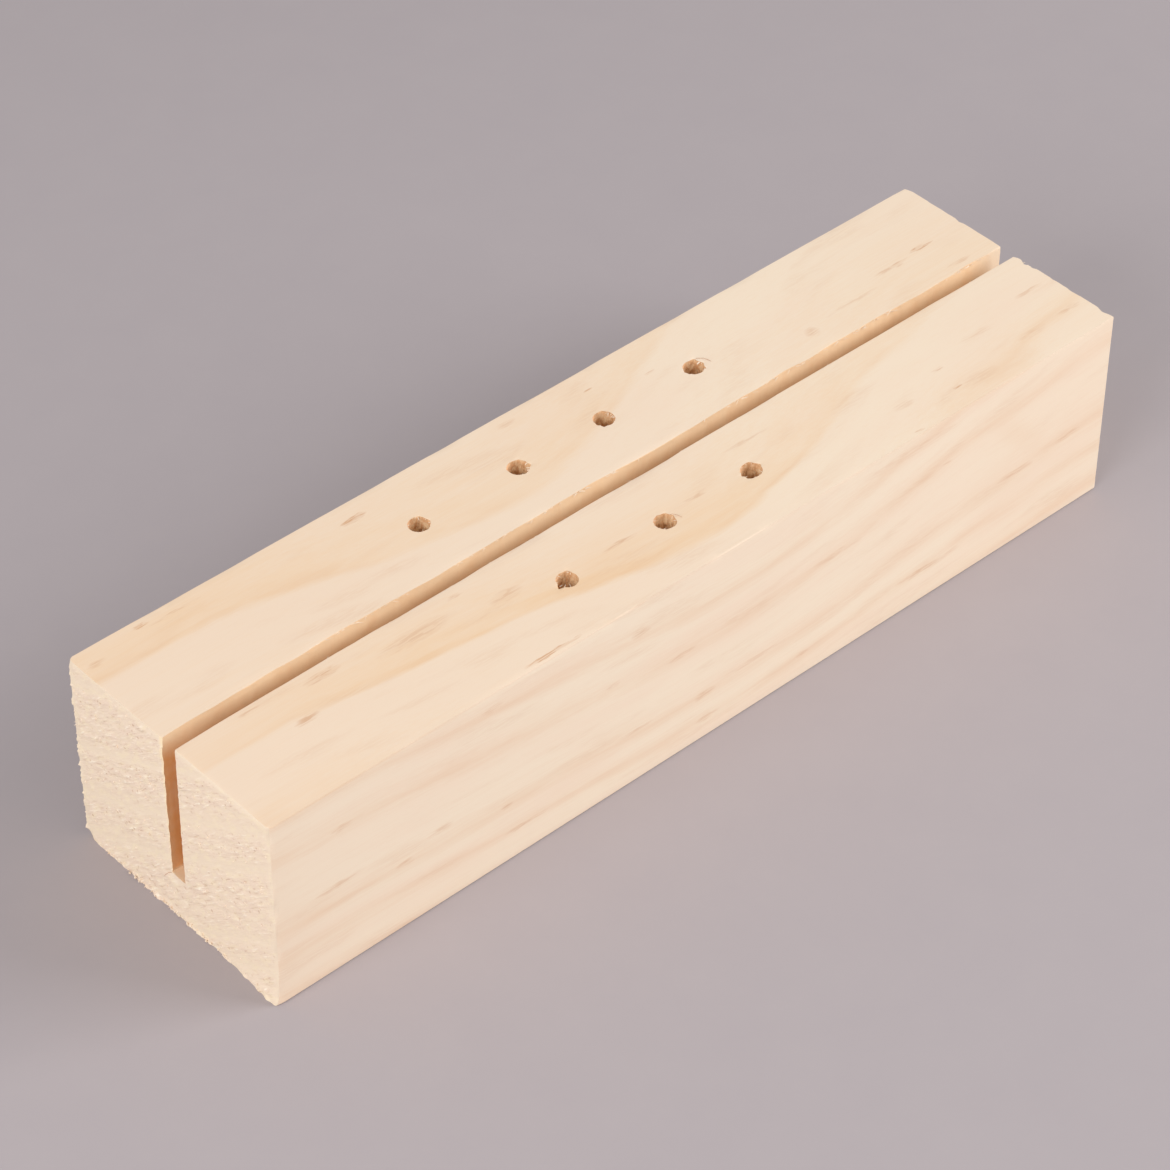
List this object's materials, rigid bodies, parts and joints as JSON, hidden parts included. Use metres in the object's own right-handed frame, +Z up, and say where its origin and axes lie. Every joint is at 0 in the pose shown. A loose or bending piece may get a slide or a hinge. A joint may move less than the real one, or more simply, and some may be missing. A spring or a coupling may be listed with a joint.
{
  "type": "card stand",
  "caption": "Long pine block with a full-length sawn slot in its top that holds a card upright, and rows of small blind holes drilled on each side of the slot.",
  "frame": {"origin": "middle of the base, on the surface that the stand rests on", "axes": "+X along the block, from the end nearest the camera to the far end; +Y from the front, where the shorter row of holes is, to the back; +Z up, out of the slot"},
  "size_m": [0.15, 0.0406, 0.0315],
  "materials": {
    "pine": "planed and uncoated, matt, with sawn end grain"
  },
  "bodies": {
    "root": {"slotted_block": "pine"}
  },
  "joints": []
}
